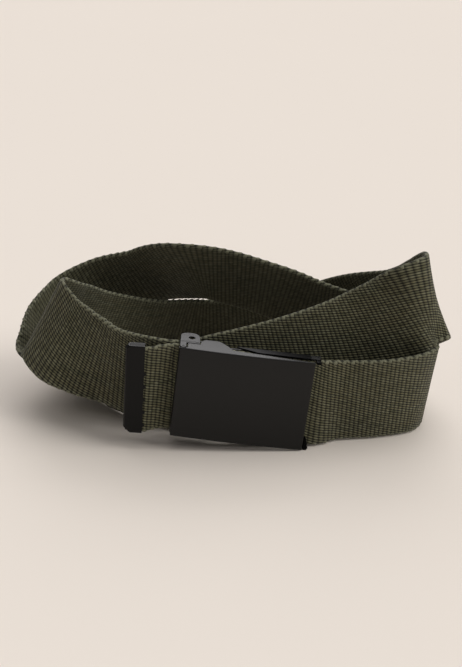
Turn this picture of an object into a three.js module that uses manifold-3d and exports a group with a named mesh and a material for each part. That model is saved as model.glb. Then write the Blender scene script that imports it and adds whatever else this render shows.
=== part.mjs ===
// A canvas web belt: one webbing strap coiled in about two turns and standing on its edge, with a
// flip-top plate buckle at the front and a folded metal tip on the strap's free end.
// Millimetres, +Z up. X runs along the front strap, Y runs from the front to the back of the coil.
// The origin is in the middle of the belt's footprint, on the surface that it stands on.

import * as THREE from 'three';
import { mergeVertices } from 'three/addons/utils/BufferGeometryUtils.js';
import Module from 'manifold-3d';

const wasm = await Module();
wasm.setup();

// Webbing strap
const STRAP_WIDTH = 38;
const STRAP_THICKNESS = 1.9;
const STRAP_EDGE_ROUND = 0.55;
const STRAP_STATION_GAP = 6;

// Coil
const COIL_REACH = 100;
const COIL_DEPTH = 100;

// Strap tip
const TIP_LENGTH = 7.8;
const TIP_WALL = 0.6;
const TIP_OVERHANG = 0.35;
const TIP_CORNER_CUT = 2.2;
const TIP_PRONGS = 5;
const TIP_PRONG_SPACING = 5.7;
const TIP_PRONG_REACH = 1.0;
const TIP_PRONG_WIDTH = 1.8;
const TIP_FIRST_PRONG = 3.6;

// Buckle cover, a shallow tray with a bowed face
const COVER_LENGTH = 54.2;
const COVER_BOW = 0.9;
const COVER_FACE_FACETS = 9;
const COVER_WALL = 0.9;
const WING_WALL = 0.6;
const WING_DEPTH_LEFT = 6.4;
const WING_DEPTH_BUMP = 11.4;
const WING_DEPTH_MIDDLE = 4.2;
const WING_DEPTH_RIGHT = 1.6;
const WING_BUMP_LENGTH = 8.8;
const WING_BUMP_SLOPE = 4.5;

// Buckle hinge
const PIN_RADIUS = 0.7;
const KNUCKLE_WALL = 0.55;
const PIN_INSET = 1.1;
const PIN_DEPTH = 3.2;
const CAM_REACH = 3.4;

// Buckle frame behind the strap
const FRAME_WALL = 1.0;
const FRAME_RIGHT_OVERHANG = 2.4;
const GUIDE_LENGTH = 4.2;
const FRAME_CORNER_ROUND = 2.2;
const EAR_LENGTH = 6.6;
const EAR_BACK_REACH = 8.2;
const EAR_HOLE_RADIUS = 1.3;

// Clamp that holds the fixed end of the strap behind the frame
const CLAMP_LENGTH = 12;
const CLAMP_WALL = 1.0;
const FIXED_END_GRIP = 15;

// Clearances between pieces
const CLEARANCE = 0.3;
const SIDE_CLEARANCE = 0.2;

// Where the buckle stands in the coil
const BUCKLE_ACROSS = 4.4;
const BUCKLE_ROLL = 7.2;
const BUCKLE_LEAN = 1.6;

const METAL = { color: 0x1d1c1b, roughness: 0.45, metalness: 0.6 };
const WEBBING = { color: 0x3b3929, roughness: 0.9, metalness: 0 };

const RAD = Math.PI / 180;
const UP = new THREE.Vector3(0, 0, 1);

// Sizes that follow from the ones above. Depths run from the cover's face towards the back.
const coverHalfHeight = STRAP_WIDTH / 2 + SIDE_CLEARANCE + WING_WALL;
const sideInner = STRAP_WIDTH / 2 + SIDE_CLEARANCE;
const knuckleRadius = PIN_RADIUS + CLEARANCE + KNUCKLE_WALL;
const pinAcross = -COVER_LENGTH / 2 + PIN_INSET;
const strapFrontDepth = PIN_DEPTH + knuckleRadius + CLEARANCE;
const strapDepth = strapFrontDepth + STRAP_THICKNESS / 2;
const frameFrontDepth = strapFrontDepth + STRAP_THICKNESS + CLEARANCE;
const frameBackDepth = frameFrontDepth + FRAME_WALL;
const fixedEndDepth = frameBackDepth + CLEARANCE + STRAP_THICKNESS / 2;
const clampFrontDepth = fixedEndDepth + STRAP_THICKNESS / 2 + CLEARANCE;
const clampPinRadius = EAR_HOLE_RADIUS - CLEARANCE;
const clampPinDepth = clampFrontDepth + clampPinRadius;
const earBackDepth = frameBackDepth + EAR_BACK_REACH;
const earCentre = pinAcross + EAR_LENGTH / 2;
const earRight = pinAcross + EAR_LENGTH;

// The buckle's own frame: X to the right along the strap, Y to the back, Z up across the strap.
const buckleLift = coverHalfHeight * Math.cos(BUCKLE_ROLL * RAD) + (COVER_LENGTH / 2) * Math.sin(BUCKLE_ROLL * RAD);
const buckleSeat = new THREE.Matrix4()
  .makeTranslation(BUCKLE_ACROSS, 0, buckleLift)
  .multiply(new THREE.Matrix4().makeRotationY(BUCKLE_ROLL * RAD))
  .multiply(new THREE.Matrix4().makeRotationX(BUCKLE_LEAN * RAD));

function toSolid(geometry) {
  const bare = geometry.clone();
  bare.deleteAttribute('normal');
  bare.deleteAttribute('uv');
  const merged = mergeVertices(bare, 1e-4);
  return new wasm.Manifold(new wasm.Mesh({
    numProp: 3,
    vertProperties: new Float32Array(merged.attributes.position.array),
    triVerts: new Uint32Array(merged.index.array),
  }));
}

function toGeometry(solid) {
  const mesh = solid.getMesh();
  const geometry = new THREE.BufferGeometry();
  geometry.setAttribute('position', new THREE.BufferAttribute(mesh.vertProperties, 3));
  geometry.setIndex(new THREE.BufferAttribute(mesh.triVerts, 1));
  geometry.computeVertexNormals();
  return geometry;
}

function box(x0, x1, y0, y1, z0, z1) {
  const geometry = new THREE.BoxGeometry(x1 - x0, y1 - y0, z1 - z0);
  geometry.translate((x0 + x1) / 2, (y0 + y1) / 2, (z0 + z1) / 2);
  return toSolid(geometry);
}

// A round bar along the buckle's Z, centred on the strap.
function crossBar(across, depth, radius, length) {
  const geometry = new THREE.CylinderGeometry(radius, radius, length, 20);
  geometry.rotateX(Math.PI / 2);
  geometry.translate(across, depth, 0);
  return toSolid(geometry);
}

// An outline in the buckle's across and depth, drawn out along Z from z0 to z1.
function slab(outline, z0, z1) {
  const geometry = new THREE.ExtrudeGeometry(outline, { depth: z1 - z0, bevelEnabled: false, curveSegments: 8 });
  geometry.translate(0, 0, z0);
  return toSolid(geometry);
}

// The same outline at the top and at the bottom edge of the buckle.
function slabPair(outline, inner, outer) {
  return slab(outline, inner, outer).add(slab(outline, -outer, -inner));
}

// An outline in the buckle's across and height, drawn out from depth y0 to depth y1.
function plate(outline, y0, y1) {
  const geometry = new THREE.ExtrudeGeometry(outline, { depth: y1 - y0, bevelEnabled: false, curveSegments: 8 });
  geometry.rotateX(Math.PI / 2);
  geometry.translate(0, y1, 0);
  return toSolid(geometry);
}

function inBuckle(across, depth, height = 0) {
  return new THREE.Vector3(across, depth, height).applyMatrix4(buckleSeat);
}

// The strap's route. Each row is the middle of the strap at one place: across is a share of
// COIL_REACH from the buckle's middle line, back is a share of COIL_DEPTH from the buckle's face,
// lift is a share of STRAP_WIDTH above the floor. lean_deg tips the strap's top edge outwards,
// away from the inside of the coil.
const COIL_ROUTE = [
  // across, back, lift, lean_deg
  [0.44, 0.086, 0.505, 8],
  [0.62, 0.109, 0.499, 10],
  [0.77, 0.168, 0.498, 9],
  [0.828, 0.251, 0.486, 9],
  [0.836, 0.345, 0.499, 4],
  [0.806, 0.430, 0.560, -5],
  [0.735, 0.510, 0.650, -15],
  [0.556, 0.585, 0.865, -25],
  [0.359, 0.660, 1.020, -30],
  [0.175, 0.700, 1.175, -30],
  [-0.005, 0.750, 1.282, -30],
  [-0.177, 0.800, 1.320, -33],
  [-0.379, 0.925, 1.155, -35],
  [-0.600, 0.945, 0.940, -17],
  [-0.765, 0.865, 0.710, 5],
  [-0.816, 0.725, 0.570, 26],
  [-0.806, 0.580, 0.470, 42],
  [-0.788, 0.485, 0.385, 50],
  [-0.712, 0.428, 0.353, 48],
  [-0.612, 0.362, 0.418, 32],
  [-0.487, 0.303, 0.490, 15],
  [-0.350, 0.248, 0.499, 4],
  [-0.210, 0.204, 0.512, -3],
  [-0.080, 0.206, 0.622, -3],
  [0.070, 0.220, 0.718, 0],
  [0.260, 0.240, 0.840, 0],
  [0.495, 0.262, 1.035, -4],
  [0.650, 0.248, 1.250, -5],
  [0.756, 0.236, 1.435, -4],
  [0.814, 0.262, 1.487, -8],
  [0.843, 0.325, 1.470, -17],
  [0.836, 0.410, 1.345, -18],
  [0.805, 0.500, 1.190, -17],
  [0.766, 0.585, 1.070, -16],
  [0.655, 0.720, 0.920, -16],
  [0.480, 0.900, 0.680, -20],
  [0.210, 0.980, 0.503, -27],
  [0.000, 0.985, 0.450, -31],
  [-0.200, 0.972, 0.450, -31],
  [-0.414, 0.842, 0.494, -21],
  [-0.606, 0.670, 0.710, -12],
  [-0.718, 0.535, 0.955, -18],
  [-0.793, 0.390, 1.163, -28],
  [-0.728, 0.283, 1.025, -24],
  [-0.630, 0.236, 0.905, -8],
  [-0.533, 0.207, 0.812, 3],
  [-0.436, 0.165, 0.753, 4],
];

// The free end, from the tip's end to the buckle, in the buckle's own frame.
const FREE_END_ROUTE = [
  // across is a share of COVER_LENGTH, nearer is how much less deep than in the buckle as a share of
  // STRAP_THICKNESS, height is a share of STRAP_WIDTH
  // across, nearer, height, lean_deg
  [-0.860, 1.16, -0.048, 2],
  [-0.790, 1.16, -0.048, 2],
  [-0.720, 1.16, -0.048, 2],
  [-0.620, 0.42, -0.016, 2],
];

// The fixed end behind the frame, as far as its last place under the clamp, in the buckle's own frame.
const FIXED_END_ROUTE = [
  // across is a share of FIXED_END_GRIP to the right of the pin, deeper is a share of STRAP_THICKNESS
  // across, deeper
  [-0.40, 0.1],
  [-0.13, 0],
  [0.20, 0],
  [1, 0],
];

// Inside the buckle the strap is straight, at these shares of COVER_LENGTH.
const HELD_STRAIGHT = [-0.53, -0.25, 0, 0.25, 0.57];

function strapRoute() {
  const places = [];
  const leans = [];
  const add = (point, lean) => {
    places.push(point);
    leans.push(lean);
  };
  for (const [across, nearer, height, lean] of FREE_END_ROUTE) {
    add(inBuckle(across * COVER_LENGTH, strapDepth - nearer * STRAP_THICKNESS, height * STRAP_WIDTH), lean);
  }
  for (const share of HELD_STRAIGHT) {
    add(inBuckle(share * COVER_LENGTH, strapDepth), BUCKLE_LEAN);
  }
  for (const [across, back, lift, lean] of COIL_ROUTE) {
    add(new THREE.Vector3(across * COIL_REACH, back * COIL_DEPTH, lift * STRAP_WIDTH), lean);
  }
  for (const [across, deeper] of FIXED_END_ROUTE) {
    add(inBuckle(pinAcross + across * FIXED_END_GRIP, fixedEndDepth + deeper * STRAP_THICKNESS), BUCKLE_LEAN);
  }
  return { places, leans };
}

// The lean between two rows follows a smooth step through their values.
function leanAt(leans, t) {
  const position = t * (leans.length - 1);
  const row = Math.min(Math.floor(position), leans.length - 2);
  const part = position - row;
  const before = leans[Math.max(row - 1, 0)];
  const after = leans[Math.min(row + 2, leans.length - 1)];
  const start = leans[row];
  const end = leans[row + 1];
  const a = -0.5 * before + 1.5 * start - 1.5 * end + 0.5 * after;
  const b = before - 2.5 * start + 2 * end - 0.5 * after;
  const c = 0.5 * (end - before);
  return ((a * part + b) * part + c) * part + start;
}

// The strap's section: a flat rounded bar, thickness first and width second.
function strapSection() {
  const t = STRAP_THICKNESS / 2;
  const w = STRAP_WIDTH / 2;
  const r = STRAP_EDGE_ROUND;
  return [
    [t, -(w - r)], [t, w - r], [t - r, w], [-(t - r), w],
    [-t, w - r], [-t, -(w - r)], [-(t - r), -w], [t - r, -w],
  ];
}

function strapGeometry() {
  const { places, leans } = strapRoute();
  const curve = new THREE.CatmullRomCurve3(places, false, 'centripetal');
  curve.arcLengthDivisions = places.length * 40;
  const steps = Math.round(curve.getLength() / STRAP_STATION_GAP);
  const section = strapSection();
  const around = section.length;
  const positions = [];
  for (let i = 0; i <= steps; i += 1) {
    const t = curve.getUtoTmapping(i / steps);
    const point = curve.getPoint(t);
    const along = curve.getTangent(t);
    const outward = new THREE.Vector3().crossVectors(along, UP).normalize();
    const upright = new THREE.Vector3().crossVectors(outward, along).normalize();
    const lean = leanAt(leans, t) * RAD;
    const wide = upright.clone().multiplyScalar(Math.cos(lean)).addScaledVector(outward, Math.sin(lean));
    const thick = outward.clone().multiplyScalar(Math.cos(lean)).addScaledVector(upright, -Math.sin(lean));
    for (const [across, up] of section) {
      const corner = point.clone().addScaledVector(thick, across).addScaledVector(wide, up);
      positions.push(corner.x, corner.y, corner.z);
    }
  }
  const index = [];
  for (let i = 0; i < steps; i += 1) {
    for (let j = 0; j < around; j += 1) {
      const a = i * around + j;
      const b = i * around + ((j + 1) % around);
      const c = a + around;
      const d = b + around;
      index.push(a, d, b, a, c, d);
    }
  }
  const last = steps * around;
  for (let j = 1; j < around - 1; j += 1) {
    index.push(0, j, j + 1);
    index.push(last, last + j + 1, last + j);
  }
  const geometry = new THREE.BufferGeometry();
  geometry.setAttribute('position', new THREE.Float32BufferAttribute(positions, 3));
  geometry.setIndex(index);
  return geometry;
}

// The depth of the cover's bowed face behind its highest line, at one place across.
function faceDepth(across) {
  const share = across / (COVER_LENGTH / 2);
  return COVER_BOW * share * share;
}

function bowedOutline(depthBehindFace) {
  const outline = new THREE.Shape();
  const half = COVER_LENGTH / 2;
  for (let i = 0; i <= COVER_FACE_FACETS; i += 1) {
    const across = -half + (COVER_LENGTH * i) / COVER_FACE_FACETS;
    if (i === 0) outline.moveTo(across, faceDepth(across));
    else outline.lineTo(across, faceDepth(across));
  }
  for (let i = COVER_FACE_FACETS; i >= 0; i -= 1) {
    const across = -half + (COVER_LENGTH * i) / COVER_FACE_FACETS;
    outline.lineTo(across, faceDepth(across) + depthBehindFace);
  }
  return outline;
}

// The side walls: shallow at the hinge, deepest at the bump beside the ear, thin at the right end.
function wingOutline() {
  const left = pinAcross + knuckleRadius + CLEARANCE;
  const bumpStart = earRight + CLEARANCE;
  const bumpEnd = bumpStart + WING_BUMP_LENGTH;
  const outline = new THREE.Shape();
  outline.moveTo(left, faceDepth(left) + COVER_WALL / 2);
  outline.lineTo(left, WING_DEPTH_LEFT);
  outline.lineTo(bumpStart, WING_DEPTH_LEFT);
  outline.quadraticCurveTo(bumpStart, WING_DEPTH_BUMP, bumpStart + 3, WING_DEPTH_BUMP);
  outline.lineTo(bumpEnd - 2, WING_DEPTH_BUMP);
  outline.quadraticCurveTo(bumpEnd, WING_DEPTH_BUMP, bumpEnd + WING_BUMP_SLOPE, WING_DEPTH_MIDDLE);
  outline.lineTo(COVER_LENGTH / 2, WING_DEPTH_RIGHT);
  outline.lineTo(COVER_LENGTH / 2, faceDepth(COVER_LENGTH / 2) + COVER_WALL / 2);
  outline.lineTo(0, COVER_WALL / 2);
  return outline;
}

function coverGeometry() {
  const half = COVER_LENGTH / 2;
  const knuckleLength = 2 * (sideInner - SIDE_CLEARANCE);
  let cover = slab(bowedOutline(COVER_WALL), -coverHalfHeight, coverHalfHeight);
  cover = cover.add(slabPair(wingOutline(), sideInner, coverHalfHeight));
  const web = box(
    pinAcross - 0.6, pinAcross + CAM_REACH,
    COVER_BOW, PIN_DEPTH,
    -knuckleLength / 2, knuckleLength / 2,
  );
  const cam = new THREE.Shape();
  cam.moveTo(pinAcross, PIN_DEPTH - 0.5);
  cam.lineTo(pinAcross + CAM_REACH, PIN_DEPTH - 0.5);
  cam.lineTo(pinAcross + CAM_REACH - 0.4, PIN_DEPTH + knuckleRadius);
  cam.lineTo(pinAcross + CAM_REACH - 1.2, PIN_DEPTH + knuckleRadius);
  cover = cover.add(web).add(slab(cam, -knuckleLength / 2, knuckleLength / 2));
  cover = cover.add(crossBar(pinAcross, PIN_DEPTH, knuckleRadius, knuckleLength));
  cover = cover.add(box(half - 1, half, faceDepth(half), WING_DEPTH_RIGHT, -coverHalfHeight, coverHalfHeight));
  cover = cover.subtract(crossBar(pinAcross, PIN_DEPTH, PIN_RADIUS + CLEARANCE, 3 * STRAP_WIDTH));
  return toGeometry(cover);
}

// The ear stands behind the cover's side wall; its arm reaches forward to the hinge pin.
function earOutline() {
  const armRadius = PIN_RADIUS + KNUCKLE_WALL;
  const left = pinAcross - armRadius;
  const front = WING_DEPTH_LEFT + CLEARANCE;
  const outline = new THREE.Shape();
  outline.moveTo(left, PIN_DEPTH);
  outline.absarc(pinAcross, PIN_DEPTH, armRadius, Math.PI, 2 * Math.PI, false);
  outline.lineTo(pinAcross + armRadius, front);
  outline.lineTo(earRight, front);
  outline.lineTo(earRight, earBackDepth - 4);
  outline.quadraticCurveTo(earRight - 0.4, earBackDepth, earCentre, earBackDepth);
  outline.quadraticCurveTo(left, earBackDepth, left, earBackDepth - 3);
  const clampHole = new THREE.Path();
  clampHole.absarc(earCentre, clampPinDepth, EAR_HOLE_RADIUS, 0, 2 * Math.PI, false);
  outline.holes.push(clampHole);
  return outline;
}

function frameOutline() {
  const left = pinAcross - PIN_RADIUS - KNUCKLE_WALL;
  const right = COVER_LENGTH / 2 + FRAME_RIGHT_OVERHANG;
  const guideLeft = right - GUIDE_LENGTH;
  const inner = sideInner - CLEARANCE;
  const outer = coverHalfHeight;
  const outline = new THREE.Shape();
  outline.moveTo(left, -outer);
  outline.lineTo(earRight, -outer);
  outline.lineTo(earRight, -inner);
  outline.lineTo(guideLeft, -inner);
  outline.lineTo(guideLeft, -outer);
  outline.lineTo(right, -outer);
  outline.lineTo(right, outer);
  outline.lineTo(guideLeft, outer);
  outline.lineTo(guideLeft, inner);
  outline.lineTo(earRight, inner);
  outline.lineTo(earRight, outer);
  outline.lineTo(left, outer);
  return outline;
}

// Two posts guide the strap's edges at the frame's right end, beside the cover.
function guidePosts() {
  const right = COVER_LENGTH / 2 + FRAME_RIGHT_OVERHANG;
  const front = strapFrontDepth - CLEARANCE;
  const outline = new THREE.Shape();
  outline.moveTo(right - GUIDE_LENGTH, front);
  outline.lineTo(right - FRAME_CORNER_ROUND, front);
  outline.quadraticCurveTo(right, front, right, front + FRAME_CORNER_ROUND);
  outline.lineTo(right, frameBackDepth);
  outline.lineTo(right - GUIDE_LENGTH, frameBackDepth);
  return slabPair(outline, sideInner, coverHalfHeight);
}

function frameGeometry() {
  let frame = plate(frameOutline(), frameFrontDepth, frameBackDepth);
  frame = frame.add(slabPair(earOutline(), sideInner, coverHalfHeight));
  frame = frame.add(guidePosts());
  frame = frame.subtract(crossBar(pinAcross, PIN_DEPTH, PIN_RADIUS + CLEARANCE / 2, 3 * STRAP_WIDTH));
  return toGeometry(frame);
}

function hingePinGeometry() {
  return toGeometry(crossBar(pinAcross, PIN_DEPTH, PIN_RADIUS, 2 * coverHalfHeight));
}

function endClampGeometry() {
  const height = sideInner - CLEARANCE;
  let clamp = crossBar(earCentre, clampPinDepth, clampPinRadius, 2 * (coverHalfHeight - CLEARANCE));
  clamp = clamp.add(box(
    earCentre, earCentre + CLAMP_LENGTH,
    clampFrontDepth, clampFrontDepth + CLAMP_WALL,
    -height, height,
  ));
  return toGeometry(clamp);
}

// The tip folds round the strap's end. Its left lower corner is cut, and prongs bite the strap.
function tipGeometry() {
  const half = STRAP_WIDTH / 2 + TIP_OVERHANG;
  const gap = STRAP_THICKNESS / 2 + CLEARANCE;
  const deep = gap + TIP_WALL;
  const right = TIP_LENGTH - TIP_WALL - CLEARANCE;
  const left = -(TIP_WALL + CLEARANCE);
  const outline = new THREE.Shape();
  outline.moveTo(left + TIP_CORNER_CUT, -half);
  outline.lineTo(right, -half);
  for (let i = 0; i < TIP_PRONGS; i += 1) {
    const middle = -half + TIP_FIRST_PRONG + i * TIP_PRONG_SPACING;
    outline.lineTo(right, middle - TIP_PRONG_WIDTH / 2);
    outline.lineTo(right + TIP_PRONG_REACH, middle);
    outline.lineTo(right, middle + TIP_PRONG_WIDTH / 2);
  }
  outline.lineTo(right, half);
  outline.lineTo(left + TIP_CORNER_CUT / 2, half);
  outline.lineTo(left, half - TIP_CORNER_CUT / 2);
  outline.lineTo(left, -half + TIP_CORNER_CUT);
  const shell = plate(outline, -deep, deep);
  const mouth = box(-CLEARANCE, 2 * TIP_LENGTH, -gap, gap, -2 * half, 2 * half);
  return toGeometry(shell.subtract(mouth));
}

// The tip's own frame has its X along the strap from the strap's end and its Z across it.
function tipSeat() {
  const { places, leans } = strapRoute();
  const curve = new THREE.CatmullRomCurve3(places, false, 'centripetal');
  const along = curve.getTangent(0);
  const outward = new THREE.Vector3().crossVectors(along, UP).normalize();
  const upright = new THREE.Vector3().crossVectors(outward, along).normalize();
  const lean = leans[0] * RAD;
  const wide = upright.clone().multiplyScalar(Math.cos(lean)).addScaledVector(outward, Math.sin(lean));
  const back = new THREE.Vector3().crossVectors(wide, along);
  return new THREE.Matrix4().makeBasis(along, back, wide).setPosition(places[0]);
}

function piece(name, geometry, finish) {
  const mesh = new THREE.Mesh(geometry, new THREE.MeshStandardMaterial(finish));
  mesh.name = name;
  return mesh;
}

function seated(matrix, ...pieces) {
  const seat = new THREE.Group();
  seat.applyMatrix4(matrix);
  seat.add(...pieces);
  return seat;
}

const group = new THREE.Group();
group.add(piece('webbing_strap', strapGeometry(), WEBBING));
group.add(seated(
  buckleSeat,
  piece('buckle_cover', coverGeometry(), METAL),
  piece('buckle_frame', frameGeometry(), METAL),
  piece('hinge_pin', hingePinGeometry(), METAL),
  piece('end_clamp', endClampGeometry(), METAL),
));
group.add(seated(tipSeat(), piece('strap_tip', tipGeometry(), METAL)));

// The whole belt is moved so that its footprint is centred on the origin and it stands on Z = 0.
group.updateMatrixWorld(true);
const extent = new THREE.Box3().setFromObject(group, true);
group.position.set(
  -(extent.min.x + extent.max.x) / 2,
  -(extent.min.y + extent.max.y) / 2,
  -extent.min.z,
);

export default group;
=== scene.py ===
"""A canvas web belt, coiled and standing on its edge, with a flip-top plate buckle and a metal tip."""

import math

import bmesh
import bpy
from mathutils import Matrix, Vector


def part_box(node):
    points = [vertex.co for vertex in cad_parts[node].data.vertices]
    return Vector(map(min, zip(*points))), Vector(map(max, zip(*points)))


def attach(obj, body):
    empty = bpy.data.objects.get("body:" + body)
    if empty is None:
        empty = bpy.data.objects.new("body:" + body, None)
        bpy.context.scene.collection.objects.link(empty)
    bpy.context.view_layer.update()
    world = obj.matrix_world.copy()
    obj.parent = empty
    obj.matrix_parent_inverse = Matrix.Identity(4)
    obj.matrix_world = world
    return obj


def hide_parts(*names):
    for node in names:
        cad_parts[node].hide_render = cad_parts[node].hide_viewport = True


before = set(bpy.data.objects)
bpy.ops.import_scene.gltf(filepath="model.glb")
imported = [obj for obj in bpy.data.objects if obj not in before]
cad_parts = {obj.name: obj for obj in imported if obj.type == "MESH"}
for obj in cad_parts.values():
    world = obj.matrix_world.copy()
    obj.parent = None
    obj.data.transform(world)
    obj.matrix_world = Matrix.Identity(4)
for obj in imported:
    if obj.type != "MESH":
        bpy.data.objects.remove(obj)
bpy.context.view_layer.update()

MM = 0.001

# Strap, in millimetres
STRAP_WIDTH = 38
STRAP_THICKNESS = 1.9
STRAP_EDGE_ROUND = 0.55
STRAP_STATION_GAP = 6
RIB_PITCH = 1.85
RIB_HEIGHT = 0.055
STEPS_PER_RIB = 4
YARN_PITCH = 1.15
FACE_COLUMNS = 18
SELVAGE_WIDTH = 1.1
EDGE_STEPS = 5
STITCH_RIBS = 2
STITCH_LENGTH = 4.1
STITCH_THICKNESS = 1.6
STITCH_SLANT = 28

# Coil
COIL_REACH = 100
COIL_DEPTH = 100

# Strap tip
TIP_LENGTH = 7.8
TIP_WALL = 0.6
TIP_OVERHANG = 0.35
TIP_CAP = 0.3
TIP_CORNER_CUT = 2.2
TIP_PRONGS = 5
TIP_PRONG_SPACING = 5.7
TIP_PRONG_REACH = 1.0
TIP_PRONG_WIDTH = 1.8
TIP_FIRST_PRONG = 3.6
TIP_ROLL = 3.4

# Buckle
COVER_LENGTH = 54.2
COVER_BOW = 0.9
COVER_WALL = 0.9
COVER_FACE_STEPS = 36
LIP_WALL = 1
WING_WALL = 0.6
WING_INSET = 0.1
WING_DEPTH_LEFT = 6.4
WING_DEPTH_BUMP = 11.4
WING_DEPTH_MIDDLE = 4.2
WING_DEPTH_RIGHT = 1.6
WING_BUMP_LENGTH = 8.8
WING_BUMP_ROUND = 3
WING_BUMP_SLOPE = 4.5
PIN_RADIUS = 0.7
KNUCKLE_WALL = 0.55
PIN_INSET = 1.1
PIN_DEPTH = 3.2
CAM_REACH = 3.4
FRAME_WALL = 1.0
FRAME_RIGHT_OVERHANG = 2.4
GUIDE_LENGTH = 4.2
FRAME_CORNER_ROUND = 2.2
EAR_LENGTH = 6.6
EAR_BACK_REACH = 8.2
EAR_HOLE_RADIUS = 1.3
RAIL_TAPER = 10
RAIL_OVERLAP = 0.4
LUG_DEPTH = 1.8
LUG_DROP = 0.2
LUG_HEIGHT = 4.6
HIGH_LUG_HEIGHT = 1.1
CLAMP_LENGTH = 12
CLAMP_WALL = 1.0
FIXED_END_GRIP = 15
CLEARANCE = 0.3
SIDE_CLEARANCE = 0.2
BUCKLE_ACROSS = 4.4
BUCKLE_ROLL = 7.2
BUCKLE_LEAN = 1.6
PLATE_EDGE_ROUND = 0.42
SHEET_EDGE_ROUND = 0.14
RING_STEPS = 28

# Camera, laid out from the buckle as the strap is
CAMERA_BACK = 445
CAMERA_HEIGHT = 232
CAMERA_PITCH = 22
CAMERA_LENS = 66.1

FLOOR_REACH = 30  # metres

# Sizes that follow from the ones above. Depths run from the cover's face towards the back.
cover_half_height = STRAP_WIDTH / 2 + SIDE_CLEARANCE + WING_WALL
side_inner = STRAP_WIDTH / 2 + SIDE_CLEARANCE
knuckle_radius = PIN_RADIUS + CLEARANCE + KNUCKLE_WALL
pin_across = -COVER_LENGTH / 2 + PIN_INSET
strap_front_depth = PIN_DEPTH + knuckle_radius + CLEARANCE
strap_depth = strap_front_depth + STRAP_THICKNESS / 2
frame_front_depth = strap_front_depth + STRAP_THICKNESS + CLEARANCE
frame_back_depth = frame_front_depth + FRAME_WALL
fixed_end_depth = frame_back_depth + CLEARANCE + STRAP_THICKNESS / 2
clamp_front_depth = fixed_end_depth + STRAP_THICKNESS / 2 + CLEARANCE
clamp_pin_radius = EAR_HOLE_RADIUS - CLEARANCE
clamp_pin_depth = clamp_front_depth + clamp_pin_radius
ear_back_depth = frame_back_depth + EAR_BACK_REACH
ear_centre = pin_across + EAR_LENGTH / 2
ear_right = pin_across + EAR_LENGTH
buckle_lift = (
    cover_half_height * math.cos(math.radians(BUCKLE_ROLL))
    + COVER_LENGTH / 2 * math.sin(math.radians(BUCKLE_ROLL))
)
buckle_seat = (
    Matrix.Translation((BUCKLE_ACROSS, 0, buckle_lift))
    @ Matrix.Rotation(math.radians(BUCKLE_ROLL), 4, "Y")
    @ Matrix.Rotation(math.radians(BUCKLE_LEAN), 4, "X")
)

# The strap's route, as in the part's source. Each row is the middle of the strap at one place:
# across is a share of COIL_REACH from the buckle's middle line, back is a share of COIL_DEPTH from
# the buckle's face, lift is a share of STRAP_WIDTH above the floor. lean_deg tips the strap's top
# edge outwards, away from the inside of the coil.
COIL_ROUTE = (
    # across, back, lift, lean_deg
    (0.44, 0.086, 0.505, 8),
    (0.62, 0.109, 0.499, 10),
    (0.77, 0.168, 0.498, 9),
    (0.828, 0.251, 0.486, 9),
    (0.836, 0.345, 0.499, 4),
    (0.806, 0.430, 0.560, -5),
    (0.735, 0.510, 0.650, -15),
    (0.556, 0.585, 0.865, -25),
    (0.359, 0.660, 1.020, -30),
    (0.175, 0.700, 1.175, -30),
    (-0.005, 0.750, 1.282, -30),
    (-0.177, 0.800, 1.320, -33),
    (-0.379, 0.925, 1.155, -35),
    (-0.600, 0.945, 0.940, -17),
    (-0.765, 0.865, 0.710, 5),
    (-0.816, 0.725, 0.570, 26),
    (-0.806, 0.580, 0.470, 42),
    (-0.788, 0.485, 0.385, 50),
    (-0.712, 0.428, 0.353, 48),
    (-0.612, 0.362, 0.418, 32),
    (-0.487, 0.303, 0.490, 15),
    (-0.350, 0.248, 0.499, 4),
    (-0.210, 0.204, 0.512, -3),
    (-0.080, 0.206, 0.622, -3),
    (0.070, 0.220, 0.718, 0),
    (0.260, 0.240, 0.840, 0),
    (0.495, 0.262, 1.035, -4),
    (0.650, 0.248, 1.250, -5),
    (0.756, 0.236, 1.435, -4),
    (0.814, 0.262, 1.487, -8),
    (0.843, 0.325, 1.470, -17),
    (0.836, 0.410, 1.345, -18),
    (0.805, 0.500, 1.190, -17),
    (0.766, 0.585, 1.070, -16),
    (0.655, 0.720, 0.920, -16),
    (0.480, 0.900, 0.680, -20),
    (0.210, 0.980, 0.503, -27),
    (0.000, 0.985, 0.450, -31),
    (-0.200, 0.972, 0.450, -31),
    (-0.414, 0.842, 0.494, -21),
    (-0.606, 0.670, 0.710, -12),
    (-0.718, 0.535, 0.955, -18),
    (-0.793, 0.390, 1.163, -28),
    (-0.728, 0.283, 1.025, -24),
    (-0.630, 0.236, 0.905, -8),
    (-0.533, 0.207, 0.812, 3),
    (-0.436, 0.165, 0.753, 4),
)

# The free end, from the tip's end to the buckle, in the buckle's own frame.
FREE_END_ROUTE = (
    # across is a share of COVER_LENGTH, nearer is how much less deep than in the buckle as a
    # share of STRAP_THICKNESS, height is a share of STRAP_WIDTH
    # across, nearer, height, lean_deg
    (-0.860, 1.16, -0.048, 2),
    (-0.790, 1.16, -0.048, 2),
    (-0.720, 1.16, -0.048, 2),
    (-0.620, 0.42, -0.016, 2),
)

# The fixed end behind the frame, as far as its last place under the clamp.
FIXED_END_ROUTE = (
    # across is a share of FIXED_END_GRIP to the right of the pin, deeper is a share of STRAP_THICKNESS
    # across, deeper
    (-0.40, 0.1),
    (-0.13, 0),
    (0.20, 0),
    (1, 0),
)

# Inside the buckle the strap is straight, at these shares of COVER_LENGTH.
HELD_STRAIGHT = (-0.53, -0.25, 0, 0.25, 0.57)


def in_buckle(across, depth, height=0):
    return buckle_seat @ Vector((across, depth, height))


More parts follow.
